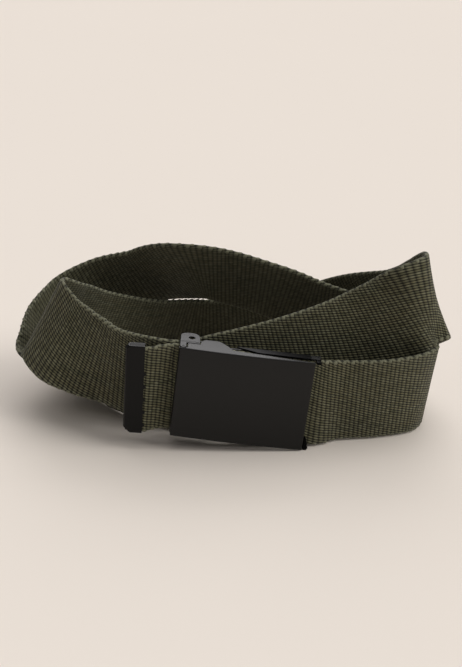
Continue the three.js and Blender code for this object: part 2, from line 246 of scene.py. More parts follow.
def strap_route():
    """The places that the strap's middle line passes through, and its lean at each, in degrees."""
    rows = []
    for across, nearer, height, lean in FREE_END_ROUTE:
        depth = strap_depth - nearer * STRAP_THICKNESS
        rows.append((in_buckle(across * COVER_LENGTH, depth, height * STRAP_WIDTH), lean))
    for share in HELD_STRAIGHT:
        rows.append((in_buckle(share * COVER_LENGTH, strap_depth), BUCKLE_LEAN))
    for across, back, lift, lean in COIL_ROUTE:
        rows.append((Vector((across * COIL_REACH, back * COIL_DEPTH, lift * STRAP_WIDTH)), lean))
    for across, deeper in FIXED_END_ROUTE:
        depth = fixed_end_depth + deeper * STRAP_THICKNESS
        rows.append((in_buckle(pin_across + across * FIXED_END_GRIP, depth), BUCKLE_LEAN))
    return [place for place, _ in rows], [lean for _, lean in rows]


class Curve:
    """A smooth curve through places, each stretch paced by the square root of its chord."""

    def __init__(self, places, divisions):
        self.places = places
        points = [self.point(i / divisions) for i in range(divisions + 1)]
        self.reached = [0.0]
        for before, after in zip(points, points[1:]):
            self.reached.append(self.reached[-1] + (after - before).length)
        self.length = self.reached[-1]

    def point(self, t):
        places = self.places
        position = t * (len(places) - 1)
        row = min(int(position), len(places) - 2)
        part = position - row
        start, end = places[row], places[row + 1]
        before = places[row - 1] if row > 0 else 2 * places[0] - places[1]
        after = places[row + 2] if row + 2 < len(places) else 2 * places[-1] - places[-2]
        pace_before = math.sqrt((start - before).length)
        pace = math.sqrt((end - start).length)
        pace_after = math.sqrt((after - end).length)
        leave = pace * (
            (start - before) / pace_before
            - (end - before) / (pace_before + pace)
            + (end - start) / pace
        )
        arrive = pace * (
            (end - start) / pace
            - (after - start) / (pace + pace_after)
            + (after - end) / pace_after
        )
        square = -3 * start + 3 * end - 2 * leave - arrive
        cube = 2 * start - 2 * end + leave + arrive
        return ((cube * part + square) * part + leave) * part + start

    def direction(self, t):
        near = max(t - 0.0001, 0)
        far = min(t + 0.0001, 1)
        return (self.point(far) - self.point(near)).normalized()

    def places_along(self, steps):
        """The curve's parameter at even distances along it."""
        divisions = len(self.reached) - 1
        found = []
        row = 0
        for i in range(steps + 1):
            distance = self.length * i / steps
            while row < divisions - 1 and self.reached[row + 1] < distance:
                row += 1
            stretch = self.reached[row + 1] - self.reached[row]
            found.append((row + (distance - self.reached[row]) / stretch) / divisions)
        return found


def lean_at(leans, t):
    """The lean between two rows follows a smooth step through their values."""
    position = t * (len(leans) - 1)
    row = min(int(position), len(leans) - 2)
    part = position - row
    before = leans[max(row - 1, 0)]
    after = leans[min(row + 2, len(leans) - 1)]
    start, end = leans[row], leans[row + 1]
    a = -0.5 * before + 1.5 * start - 1.5 * end + 0.5 * after
    b = before - 2.5 * start + 2 * end - 0.5 * after
    c = 0.5 * (end - before)
    return ((a * part + b) * part + c) * part + start


def free_end_frame(thick, wide, distance):
    """Near its tip the strap's weft stays upright while the strap steps down a little."""
    free = (HELD_STRAIGHT[0] - FREE_END_ROUTE[0][0]) * COVER_LENGTH
    if distance > free:
        return thick, wide
    roll = math.radians(TIP_ROLL) * (1 - distance / free)
    upright = buckle_seat.to_3x3() @ Vector((-math.sin(roll), 0, math.cos(roll)))
    back = buckle_seat.to_3x3() @ Vector((0, 1, 0))
    return (back if thick.dot(back) > 0 else -back), upright


def woven_stations(steps):
    """The strap's stations with the free end's weft kept upright."""
    found = []
    for i, (point, along, thick, wide) in enumerate(strap_stations(strap_curve, leans, steps)):
        thick, wide = free_end_frame(thick, wide, strap_curve.length * i / steps)
        found.append((point, along, thick, wide))
    return found


def strap_stations(curve, leans, steps):
    """(point, along, thick, wide) at even distances along the strap."""
    stations = []
    for t in curve.places_along(steps):
        along = curve.direction(t)
        outward = along.cross(Vector((0, 0, 1))).normalized()
        upright = outward.cross(along).normalized()
        lean = math.radians(lean_at(leans, t))
        wide = upright * math.cos(lean) + outward * math.sin(lean)
        thick = outward * math.cos(lean) - upright * math.sin(lean)
        stations.append((curve.point(t), along, thick, wide))
    return stations


places, leans = strap_route()
strap_curve = Curve(places, len(places) * 40)


def source_strap_low():
    """The lowest corner of the part's own strap solid before the part is centred."""
    half = STRAP_THICKNESS / 2
    width = STRAP_WIDTH / 2
    soft = STRAP_EDGE_ROUND
    section = [(half, width - soft), (half - soft, width)]
    section += [(-a, u) for a, u in section]
    section += [(a, -u) for a, u in section]
    steps = round(strap_curve.length / STRAP_STATION_GAP)
    low = Vector((1e9, 1e9, 1e9))
    for point, _, thick, wide in strap_stations(strap_curve, leans, steps):
        for a, u in section:
            low = Vector(map(min, low, point + thick * a + wide * u))
    return low


# Everything above is laid out from the buckle. This shift, in millimetres, brings it to the frame.
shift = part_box("webbing_strap")[0] / MM - source_strap_low()
to_frame = Matrix.Scale(MM, 4) @ Matrix.Translation(shift)


class Sheet:
    """A node tree of a material or of Geometry Nodes."""

    def __init__(self, tree):
        self.tree = tree
        self.tree.nodes.clear()

    def add(self, kind, settings=None, values=None):
        """One node. Its settings are set first, then the values or links of its sockets."""
        node = self.tree.nodes.new(kind)
        for name, value in (settings or {}).items():
            setattr(node, name, value)
        for key, value in (values or {}).items():
            socket = node.inputs[key]
            if isinstance(value, Wire):
                self.tree.links.new(value.socket, socket)
            elif isinstance(value, bpy.types.NodeSocket):
                self.tree.links.new(value, socket)
            else:
                socket.default_value = value
        return node

    def wire(self, node, key=0):
        return Wire(self, node.outputs[key])


class Wire:
    """A socket's value, which sums and products can use."""

    def __init__(self, sheet, socket):
        self.sheet = sheet
        self.socket = socket

    def maths(self, operation, first, second=None):
        values = {0: first} if second is None else {0: first, 1: second}
        node = self.sheet.add("ShaderNodeMath", {"operation": operation}, values)
        return Wire(self.sheet, node.outputs[0])

    def __add__(self, other):
        return self.maths("ADD", self, other)

    def __radd__(self, other):
        return self.maths("ADD", other, self)

    def __sub__(self, other):
        return self.maths("SUBTRACT", self, other)

    def __rsub__(self, other):
        return self.maths("SUBTRACT", other, self)

    def __mul__(self, other):
        return self.maths("MULTIPLY", self, other)

    def __rmul__(self, other):
        return self.maths("MULTIPLY", other, self)

    def floor(self):
        return self.maths("FLOOR", self)

    def part(self):
        return self.maths("FRACT", self)

    def cosine(self):
        return self.maths("COSINE", self)

    def positive(self):
        return self.maths("MAXIMUM", self, 0.0)

    def at_most(self, limit):
        return self.maths("MINIMUM", self, limit)


def blended(sheet, factor, first, second):
    """A colour between two others."""
    node = sheet.add("ShaderNodeMix", {"data_type": "RGBA"}, {0: factor, 6: first, 7: second})
    return node.outputs[2]


def noise(sheet, place, scale, detail):
    """An uneven cloud between 0 and 1."""
    node = sheet.add("ShaderNodeTexNoise", None, {"Vector": place, "Scale": scale, "Detail": detail})
    return sheet.wire(node)


def attribute(sheet, name):
    return sheet.wire(sheet.add("ShaderNodeAttribute", {"attribute_name": name}), "Fac")


def new_material(name):
    material = bpy.data.materials.new(name)
    material.use_nodes = True
    return material, Sheet(material.node_tree)


def finish_material(sheet, settings):
    shader = sheet.add("ShaderNodeBsdfPrincipled", None, settings)
    sheet.add("ShaderNodeOutputMaterial", None, {"Surface": shader.outputs[0]})


def webbing_material():
    """Heavy olive cotton webbing. Each rib is a row of slanted beads, half a bead off the next row."""
    material, sheet = new_material("olive webbing")
    weave = sheet.add("ShaderNodeUVMap", {"uv_map": "weave"})
    place = sheet.add("ShaderNodeSeparateXYZ", None, {0: weave.outputs[0]})
    rib = sheet.wire(place, "X")
    yarn = sheet.wire(place, "Y")
    across_rib = rib.part() - 0.5
    slanted = yarn + rib * 0.5
    across_yarn = slanted.part() - 0.5
    bead = (1.06 - across_rib * across_rib * 2.9 - across_yarn * across_yarn * 4.6).positive()
    # Inner faces get a flatter, plainer rib pattern with less contrast: painted shade, as these faces sit
    # in shade inside the coil.
    inner = attribute(sheet, "inner")
    shaded_plain_rib = 0.70 - across_rib * across_rib * 1.6 - across_yarn * across_yarn * 0.9
    relief = bead + (shaded_plain_rib - bead) * inner * 0.75
    beads = sheet.add("ShaderNodeCombineXYZ", None, {"X": rib.floor(), "Y": slanted.floor()})
    fleck = sheet.wire(sheet.add("ShaderNodeTexWhiteNoise", {"noise_dimensions": "2D"},
                                 {"Vector": beads.outputs[0]}))
    along = sheet.add("ShaderNodeCombineXYZ", None, {"X": rib * 0.05, "Y": yarn * 0.8})
    streak = sheet.wire(sheet.add("ShaderNodeTexNoise", {"noise_dimensions": "2D"},
                                  {"Vector": along.outputs[0], "Scale": 1.0, "Detail": 3.0}))
    body = sheet.add("ShaderNodeTexCoord").outputs["Object"]
    patch = noise(sheet, body, 38.0, 2.0)
    ply = noise(sheet, body, 3600.0, 2.0)
    olive = blended(sheet, fleck, (0.068, 0.070, 0.037, 1), (0.158, 0.158, 0.100, 1))
    khaki = blended(sheet, (streak * 1.6 - 0.45).positive().at_most(1.0), olive, (0.135, 0.122, 0.066, 1))
    # Both edges of the strap are blended lighter: a painted highlight standing in for the light that
    # catches the edges.
    edge_highlight = blended(sheet, attribute(sheet, "edge") * 0.45, khaki, (0.19, 0.19, 0.135, 1))
    shade = (0.05 + relief * 1.10) * (0.80 + patch * 0.40) * (0.86 + ply * 0.28)
    colour = sheet.add("ShaderNodeVectorMath", {"operation": "SCALE"}, {0: edge_highlight, "Scale": shade})
    bump = sheet.add("ShaderNodeBump", None,
                     {"Height": relief + ply * 0.15, "Strength": 0.8, "Distance": 0.00030})
    finish_material(sheet, {
        "Base Color": colour.outputs[0],
        "Roughness": 0.88,
        "Sheen Weight": 0.08,
        "Sheen Roughness": 0.5,
        "Specular IOR Level": 0.25,
        "Normal": bump.outputs[0],
    })
    return material


def selvage_material():
    """The braided edge: the same yarn, a little lighter as a painted highlight where light catches the
    strap's edges.
    """
    material, sheet = new_material("olive selvage yarn")
    body = sheet.add("ShaderNodeTexCoord").outputs["Object"]
    patch = noise(sheet, body, 420.0, 2.0)
    strand = noise(sheet, body, 4200.0, 3.0)
    # The lighter colour of these grains is a painted highlight; patch adds random tone.
    colour = blended(sheet, patch, (0.075, 0.075, 0.045, 1), (0.205, 0.203, 0.138, 1))
    bump = sheet.add("ShaderNodeBump", None, {"Height": strand, "Strength": 0.5, "Distance": 0.0001})
    finish_material(sheet, {
        "Base Color": colour,
        "Roughness": 0.85,
        "Sheen Weight": 0.08,
        "Specular IOR Level": 0.25,
        "Normal": bump.outputs[0],
    })
    return material


def black_metal_material(name, darkest, lightest, gloss):
    """Pressed steel under a satin black coat, very slightly uneven."""
    material, sheet = new_material(name)
    body = sheet.add("ShaderNodeTexCoord").outputs["Object"]
    cloud = noise(sheet, body, 55.0, 3.0)
    grain = noise(sheet, body, 2600.0, 2.0)
    colour = blended(sheet, cloud, darkest, lightest)
    rough = 0.26 + cloud * 0.08 + grain * 0.06
    bump = sheet.add("ShaderNodeBump", None, {"Height": grain, "Strength": 0.10, "Distance": 0.00004})
    finish_material(sheet, {
        "Base Color": colour,
        "Roughness": rough,
        "Specular IOR Level": gloss,
        "Normal": bump.outputs[0],
    })
    return material


def floor_material():
    material, sheet = new_material("pale floor")
    body = sheet.add("ShaderNodeTexCoord").outputs["Object"]
    cloud = noise(sheet, body, 3.0, 1.0)
    colour = blended(sheet, cloud, (0.785, 0.722, 0.662, 1), (0.795, 0.732, 0.672, 1))
    finish_material(sheet, {"Base Color": colour, "Roughness": 1.0, "Specular IOR Level": 0.0})
    return material


WEBBING = webbing_material()
SELVAGE = selvage_material()
BLACK_METAL = black_metal_material(
    "satin black coat", (0.0068, 0.0068, 0.0066, 1), (0.0090, 0.0089, 0.0086, 1), 0.24)
TIP_METAL = black_metal_material(
    "black tip coat", (0.0030, 0.0030, 0.0031, 1), (0.0045, 0.0045, 0.0046, 1), 0.16)
# A darker, almost unglossy copy of the black coat: painted shade for the rails, lugs and tip caps, which
# sit in shade.
SHADED_BLACK_METAL = black_metal_material(
    "shaded black coat", (0.0020, 0.0020, 0.0022, 1), (0.0030, 0.0030, 0.0032, 1), 0.04)
FLOOR = floor_material()


def new_object(name, mesh):
    made = bpy.data.objects.new(name, mesh)
    bpy.context.scene.collection.objects.link(made)
    return made


def mesh_from(name, bm):
    mesh = bpy.data.meshes.new(name)
    bm.to_mesh(mesh)
    bm.free()
    return mesh


def smooth_by_angle(mesh, degrees):
    mesh.shade_smooth()
    mesh.set_sharp_from_angle(angle=math.radians(degrees))


def built(name, mesh, tree, inputs):
    """The mesh that a Geometry Nodes tree makes from this one, as a plain mesh."""
    holder = new_object(name, mesh)
    modifier = holder.modifiers.new(tree.name, "NODES")
    modifier.node_group = tree
    for item in tree.interface.items_tree:
        if item.item_type == "SOCKET" and item.in_out == "INPUT" and item.name in inputs:
            modifier[item.identifier] = inputs[item.name]
    ready = holder.evaluated_get(bpy.context.evaluated_depsgraph_get())
    made = bpy.data.meshes.new_from_object(ready)
    holder.modifiers.remove(modifier)
    bpy.data.objects.remove(holder)
    return made


def geometry_tree(name, numbers):
    """A Geometry Nodes tree with a Geometry and a Material input and these named numbers."""
    tree = bpy.data.node_groups.new(name, "GeometryNodeTree")
    tree.interface.new_socket("Geometry", in_out="INPUT", socket_type="NodeSocketGeometry")
    tree.interface.new_socket("Material", in_out="INPUT", socket_type="NodeSocketMaterial")
    for number in numbers:
        tree.interface.new_socket(number, in_out="INPUT", socket_type="NodeSocketFloat")
    tree.interface.new_socket("Geometry", in_out="OUTPUT", socket_type="NodeSocketGeometry")
    sheet = Sheet(tree)
    return tree, sheet, sheet.add("NodeGroupInput")


def end_tree(sheet, geometry, given):
    realized = sheet.add("GeometryNodeRealizeInstances", None, {0: geometry})
    painted = sheet.add("GeometryNodeSetMaterial", None,
                        {"Geometry": realized.outputs[0], "Material": given.outputs["Material"]})
    sheet.add("NodeGroupOutput", None, {0: painted.outputs[0]})


def named(sheet, name, kind="FLOAT"):
    """What a point of the mesh carries under this name."""
    return sheet.add("GeometryNodeInputNamedAttribute", {"data_type": kind}, {"Name": name})


def ribs_tree():
    """Raises the weft ribs across both faces of the strap."""
    tree, sheet, given = geometry_tree("weft ribs", ("Rib Height",))
    rib = sheet.wire(named(sheet, "rib"))
    face = sheet.wire(named(sheet, "face"))
    height = sheet.wire(given, "Rib Height")
    crown = (rib * (2 * math.pi)).cosine() * -0.5 + 0.5
    lift = crown * face * height
    normal = sheet.add("GeometryNodeInputNormal")
    offset = sheet.add("ShaderNodeVectorMath", {"operation": "SCALE"},
                       {0: normal.outputs[0], "Scale": lift})
    moved = sheet.add("GeometryNodeSetPosition", None,
                      {"Geometry": given.outputs["Geometry"], "Offset": offset.outputs[0]})
    smooth = sheet.add("GeometryNodeSetShadeSmooth", None, {0: moved.outputs[0]})
    end_tree(sheet, smooth.outputs[0], given)
    return tree


def stitches_tree():
    """Lays one slanted grain of yarn on each point of the strap's edges."""
    tree, sheet, given = geometry_tree("selvage stitches", ("Length", "Thickness", "Slant"))
    along = named(sheet, "along", "FLOAT_VECTOR")
    out = named(sheet, "out", "FLOAT_VECTOR")
    grain = sheet.add("GeometryNodeMeshUVSphere", None, {"Segments": 10, "Rings": 7, "Radius": 0.5})
    turn = sheet.add("FunctionNodeAxesToRotation", {"primary_axis": "X", "secondary_axis": "Z"},
                     {0: along.outputs[0], 1: out.outputs[0]})
    slant = sheet.add("FunctionNodeAxisAngleToRotation", None,
                      {"Axis": (0, 0, 1), "Angle": given.outputs["Slant"]})
    turned = sheet.add("FunctionNodeRotateRotation", {"rotation_space": "LOCAL"},
                       {0: turn.outputs[0], 1: slant.outputs[0]})
    size = sheet.add("ShaderNodeCombineXYZ", None, {
        "X": given.outputs["Length"], "Y": given.outputs["Thickness"], "Z": given.outputs["Thickness"]})
    laid = sheet.add("GeometryNodeInstanceOnPoints", None, {
        "Points": given.outputs["Geometry"], "Instance": grain.outputs[0],
        "Rotation": turned.outputs[0], "Scale": size.outputs[0]})
    smooth = sheet.add("GeometryNodeSetShadeSmooth", None, {0: laid.outputs[0]})
    end_tree(sheet, smooth.outputs[0], given)
    return tree


def strap_section():
    """(thickness, width, face, edge and inner weight) round the strap: face, edge, face, edge."""
    half = STRAP_THICKNESS / 2
    flat = STRAP_WIDTH / 2 - SELVAGE_WIDTH
    section = []
    for side in (1, -1):
        for i in range(FACE_COLUMNS + 1):
            up = side * (-flat + 2 * flat * i / FACE_COLUMNS)
            near_edge = i in (0, FACE_COLUMNS)
            section.append((side * half, up, 0.4 if near_edge else 1.0, 0.6 if near_edge else 0.0,
                            0.0 if side > 0 else 1.0))
        for i in range(1, EDGE_STEPS + 1):
            angle = math.pi * i / (EDGE_STEPS + 1)
            section.append((side * half * math.cos(angle), side * (flat + SELVAGE_WIDTH * math.sin(angle)),
                            0.0, 1.0, 0.5))
    return section


def strap_mesh():
    section = strap_section()
    steps = round(strap_curve.length / RIB_PITCH) * STEPS_PER_RIB
    around = len(section)
    body = RIB_HEIGHT / STRAP_THICKNESS
    vertices, rib, face, edge, inner, weave = [], [], [], [], [], []
    for i, (point, _, thick, wide) in enumerate(woven_stations(steps)):
        for across, up, on_face, on_edge, on_inner in section:
            vertices.append(to_frame @ (point + thick * across * (1 - body) + wide * up))
            rib.append(i / STEPS_PER_RIB)
            face.append(on_face)
            edge.append(on_edge)
            inner.append(on_inner)
            weave.append((i / STEPS_PER_RIB, up / YARN_PITCH))
    faces = []
    for i in range(steps):
        for j in range(around):
            a = i * around + j
            b = i * around + (j + 1) % around
            faces.append((a, a + around, b + around, b))
    faces.append(tuple(range(around)))
    faces.append(tuple(steps * around + j for j in reversed(range(around))))
    mesh = bpy.data.meshes.new("webbing strap")
    mesh.from_pydata(vertices, [], faces)
    for name, values in (("rib", rib), ("face", face), ("edge", edge), ("inner", inner)):
        mesh.attributes.new(name, "FLOAT", "POINT").data.foreach_set("value", values)
    layer = mesh.uv_layers.new(name="weave")
    corners = [0] * len(mesh.loops)
    mesh.loops.foreach_get("vertex_index", corners)
    layer.data.foreach_set("uv", [value for corner in corners for value in weave[corner]])
    mesh.update()
    return built("ribbed strap", mesh, ribs_tree(), {"Material": WEBBING, "Rib Height": RIB_HEIGHT * MM})


def selvage_mesh():
    """The braided grains along both edges of the strap."""
    steps = round(strap_curve.length / RIB_PITCH / STITCH_RIBS)
    points, along, out = [], [], []
    reach = STRAP_WIDTH / 2 - STITCH_THICKNESS / 2
    for i, (point, ahead, _, wide) in enumerate(woven_stations(steps)):
        if i in (0, steps):
            continue
        for side in (1, -1):
            points.append(to_frame @ (point + wide * side * reach))
            along += list(ahead)
            out += list(wide * side)
    mesh = bpy.data.meshes.new("selvage points")
    mesh.from_pydata(points, [], [])
    mesh.attributes.new("along", "FLOAT_VECTOR", "POINT").data.foreach_set("vector", along)
    mesh.attributes.new("out", "FLOAT_VECTOR", "POINT").data.foreach_set("vector", out)
    return built("selvage", mesh, stitches_tree(), {
        "Material": SELVAGE,
        "Length": STITCH_LENGTH * MM,
        "Thickness": STITCH_THICKNESS * MM,
        "Slant": math.radians(STITCH_SLANT),
    })


def filleted(loop, radius, steps=4):
    """The loop with each of its sharp corners rounded."""
    made = []
    count = len(loop)
    for i in range(count):
        here = Vector(loop[i])
        before = Vector(loop[i - 1]) - here
        after = Vector(loop[(i + 1) % count]) - here
        turn = math.pi - before.angle(after)
        if turn < math.radians(30):
            made.append(tuple(here))
            continue
        reach = min(radius * math.tan(turn / 2), before.length * 0.45, after.length * 0.45)
        start = here + before.normalized() * reach
        end = here + after.normalized() * reach
        for k in range(steps + 1):
            t = k / steps
            made.append(tuple(start * (1 - t) ** 2 + here * 2 * t * (1 - t) + end * t * t))
    return made


def plate_mesh(loops, thickness, edge_round):
    """A flat plate with rounded edges, its outline in X and Y and its middle at Z = 0. Loops after
    the first are holes."""
    curve = bpy.data.curves.new("plate", "CURVE")
    curve.dimensions = "2D"
    curve.fill_mode = "BOTH"
    curve.extrude = thickness / 2 - edge_round
    curve.bevel_depth = edge_round
    curve.bevel_resolution = 2
    curve.offset = -edge_round
    for loop in loops:
        spline = curve.splines.new("POLY")
        spline.points.add(len(loop) - 1)
        for place, (x, y) in zip(spline.points, loop):
            place.co = (x, y, 0, 1)
        spline.use_cyclic_u = True
    holder = new_object("plate", curve)
    made = bpy.data.meshes.new_from_object(holder.evaluated_get(bpy.context.evaluated_depsgraph_get()))
    bpy.data.objects.remove(holder)
    bpy.data.curves.remove(curve)
    return made


def merged(bm, mesh, matrix):
    mesh.transform(matrix)
    bm.from_mesh(mesh)
    bpy.data.meshes.remove(mesh)


def edge_on(bm, loops, low, high, edge_round=SHEET_EDGE_ROUND):
    """A plate whose outline is in across and depth, between two heights."""
    merged(bm, plate_mesh(loops, high - low, edge_round), Matrix.Translation((0, 0, (low + high) / 2)))


def face_on(bm, loops, front, back, edge_round=SHEET_EDGE_ROUND):
    """A plate whose outline is in across and height, between two depths."""
    stand = Matrix.Translation((0, (front + back) / 2, 0)) @ Matrix.Rotation(math.pi / 2, 4, "X")
    merged(bm, plate_mesh(loops, back - front, edge_round), stand)


def pair_of(bm, loops, inner, outer):
    """The same plate at the buckle's top and bottom edge."""
    edge_on(bm, loops, inner, outer)
    edge_on(bm, loops, -outer, -inner)


def ring(across, depth, radius):
    """Points round a circle."""
    turns = [2 * math.pi * k / RING_STEPS for k in range(RING_STEPS)]
    return [(across + radius * math.cos(turn), depth + radius * math.sin(turn)) for turn in turns]


def rod(bm, across, depth, radius, length):
    """A round bar along the buckle's height, with softened ends."""
    edge_on(bm, [ring(across, depth, radius)], -length / 2, length / 2, min(SHEET_EDGE_ROUND, radius / 3))


def curved(start, control, end, steps=8):
    """Points after start along a quadratic curve."""
    found = []
    for k in range(1, steps + 1):
        t = k / steps
        found.append(tuple(
            start[i] * (1 - t) ** 2 + control[i] * 2 * t * (1 - t) + end[i] * t * t for i in (0, 1)))
    return found


def face_depth(across):
    """The depth of the cover's bowed face behind its highest line."""
    return COVER_BOW * (across / (COVER_LENGTH / 2)) ** 2


def face_middle(across):
    """The depth halfway through the wall of the cover's face."""
    return face_depth(across) + COVER_WALL / 2


def metal_piece(name, bm, seat, body, finish=BLACK_METAL):
    mesh = mesh_from(name, bm)
    mesh.transform(to_frame @ seat)
    smooth_by_angle(mesh, 32)
    mesh.materials.clear()
    mesh.materials.append(finish)
    made = new_object(name, mesh)
    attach(made, body)
    return made


def cover_face_loop():
    half = COVER_LENGTH / 2
    stops = [-half + COVER_LENGTH * i / COVER_FACE_STEPS for i in range(COVER_FACE_STEPS + 1)]
    front = [(across, face_depth(across)) for across in stops]
    back = [(across, face_depth(across) + COVER_WALL) for across in reversed(stops)]
    return filleted(front + back, PLATE_EDGE_ROUND)


def wing_loop():
    left = pin_across + knuckle_radius + CLEARANCE
    bump_start = ear_right + CLEARANCE
    bump_end = bump_start + WING_BUMP_LENGTH
    half = COVER_LENGTH / 2
    rise = (bump_start, WING_DEPTH_LEFT)
    crown = (bump_start + WING_BUMP_ROUND, WING_DEPTH_BUMP)
    fall = (bump_end - 2, WING_DEPTH_BUMP)
    front = [(half - WING_INSET, face_middle(half)), (half / 2, face_middle(half / 2)),
             (0, face_middle(0)), (-half / 2, face_middle(half / 2))]
    return filleted([
        (left, face_middle(left)), (left, WING_DEPTH_LEFT), rise,
        *curved(rise, (bump_start, WING_DEPTH_BUMP), crown),
        fall,
        *curved(fall, (bump_end, WING_DEPTH_BUMP), (bump_end + WING_BUMP_SLOPE, WING_DEPTH_MIDDLE)),
        (half - WING_INSET, WING_DEPTH_RIGHT), *front,
    ], 0.3)


def buckle_cover():
    half = COVER_LENGTH / 2
    reach = side_inner - SIDE_CLEARANCE
    bm = bmesh.new()
    edge_on(bm, [cover_face_loop()], -cover_half_height, cover_half_height, PLATE_EDGE_ROUND)
    pair_of(bm, [wing_loop()], side_inner, cover_half_height - WING_INSET)
    web = [(pin_across - 0.6, COVER_BOW), (pin_across + CAM_REACH, COVER_BOW),
           (pin_across + CAM_REACH, PIN_DEPTH - 0.5),
           (pin_across + CAM_REACH - 0.4, PIN_DEPTH + knuckle_radius),
           (pin_across + CAM_REACH - 1.2, PIN_DEPTH + knuckle_radius), (pin_across - 0.6, PIN_DEPTH)]
    edge_on(bm, [filleted(web, 0.3)], -reach, reach)
    rod(bm, pin_across, PIN_DEPTH, knuckle_radius, 2 * reach)
    lip = [(half - LIP_WALL, face_middle(half)), (half - WING_INSET, face_middle(half)),
           (half - WING_INSET, WING_DEPTH_RIGHT), (half - LIP_WALL, WING_DEPTH_RIGHT)]
    edge_on(bm, [lip], -cover_half_height + WING_INSET, cover_half_height - WING_INSET, 0.06)
    made = metal_piece("cover_shell", bm, buckle_seat, "cover")
    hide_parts("buckle_cover")


def ear_loops():
    arm = PIN_RADIUS + KNUCKLE_WALL
    left = pin_across - arm
    front = WING_DEPTH_LEFT + CLEARANCE
    turns = [math.pi * (1 + k / 10) for k in range(11)]
    nose = [(pin_across + arm * math.cos(turn), PIN_DEPTH + arm * math.sin(turn)) for turn in turns]
    corner = (ear_right, ear_back_depth - 4)
    crown = (ear_centre, ear_back_depth)
    outline = [
        *nose, (pin_across + arm, front), (ear_right, front), corner,
        *curved(corner, (ear_right - 0.4, ear_back_depth), crown),
        *curved(crown, (left, ear_back_depth), (left, ear_back_depth - 3)),
    ]
    return [filleted(outline, 0.5), ring(ear_centre, clamp_pin_depth, EAR_HOLE_RADIUS)]


def buckle_frame():
    left = pin_across - PIN_RADIUS - KNUCKLE_WALL
    right = COVER_LENGTH / 2 + FRAME_RIGHT_OVERHANG
    guide_left = right - GUIDE_LENGTH
    inner = side_inner - CLEARANCE
    outer = cover_half_height
    outline = [
        (left, -outer), (ear_right, -outer), (ear_right, -inner),
        (guide_left, -inner), (guide_left, -outer),
        (right, -outer), (right, outer), (guide_left, outer), (guide_left, inner), (ear_right, inner),
        (ear_right, outer), (left, outer),
    ]
    front = strap_front_depth - CLEARANCE
    start = (right - FRAME_CORNER_ROUND, front)
    post = [
        (guide_left, front), start, *curved(start, (right, front), (right, front + FRAME_CORNER_ROUND)),
        (right, frame_back_depth), (guide_left, frame_back_depth),
    ]
    bm = bmesh.new()
    face_on(bm, [filleted(outline, 0.4)], frame_front_depth, frame_back_depth, 0.2)
    pair_of(bm, ear_loops(), side_inner, cover_half_height)
    pair_of(bm, [filleted(post, 0.3)], side_inner, cover_half_height)
    made = metal_piece("frame_plate", bm, buckle_seat, "belt")
    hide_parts("buckle_frame")
    frame_rails(guide_left, right)


def frame_rails(guide_left, right):
    """The folded edges that keep the strap in line, and the rounded lugs in front of their right ends."""
    start = ear_right + CLEARANCE + WING_BUMP_LENGTH + WING_BUMP_SLOPE
    front = WING_DEPTH_MIDDLE + CLEARANCE
    end = guide_left + RAIL_OVERLAP
    rail = [(start, frame_back_depth), (start + RAIL_TAPER, front), (end, front), (end, frame_back_depth)]
    lug_left = COVER_LENGTH / 2 + CLEARANCE
    lug_back = strap_front_depth - CLEARANCE
    low = -cover_half_height
    low_lug = [(lug_left, low - LUG_DROP), (right - 0.5, low - LUG_DROP), (right, low + 0.8),
               (lug_left + 0.9, low + LUG_HEIGHT), (lug_left, low + LUG_HEIGHT)]
    high = cover_half_height
    high_lug = [(lug_left, high - HIGH_LUG_HEIGHT), (right, high - HIGH_LUG_HEIGHT),
                (right, high), (lug_left, high)]
    bm = bmesh.new()
    pair_of(bm, [filleted(rail, 0.5)], side_inner, cover_half_height)
    face_on(bm, [filleted(low_lug, 0.9)], LUG_DEPTH, lug_back)
    face_on(bm, [filleted(high_lug, 0.7)], LUG_DEPTH, lug_back)
    # The rails and lugs get the darker coat: painted shade.
    metal_piece("frame_rails", bm, buckle_seat, "belt", SHADED_BLACK_METAL)


def end_clamp():
    reach = side_inner - CLEARANCE
    plate = [(ear_centre, -reach), (ear_centre + CLAMP_LENGTH, -reach),
             (ear_centre + CLAMP_LENGTH, reach), (ear_centre, reach)]
    bm = bmesh.new()
    face_on(bm, [filleted(plate, 1.2)], clamp_front_depth, clamp_front_depth + CLAMP_WALL, 0.2)
    rod(bm, ear_centre, clamp_pin_depth, clamp_pin_radius, 2 * (side_inner - CLEARANCE))
    made = metal_piece("clamp_plate", bm, buckle_seat, "belt")
    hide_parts("end_clamp")


def hinge_pin():
    bm = bmesh.new()
    rod(bm, pin_across, PIN_DEPTH, PIN_RADIUS, 2 * cover_half_height)
    made = metal_piece("hinge_rivet", bm, buckle_seat, "belt")
    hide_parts("hinge_pin")


def tip_seat():
    """The tip's own frame: X along the strap from its end, Y to the back, Z across the strap."""
    point, _, _, wide = woven_stations(4)[0]
    back = buckle_seat.to_3x3() @ Vector((0, 1, 0))
    along = back.cross(wide)
    return Matrix((
        (along.x, back.x, wide.x, point.x),
        (along.y, back.y, wide.y, point.y),
        (along.z, back.z, wide.z, point.z),
        (0, 0, 0, 1),
    ))


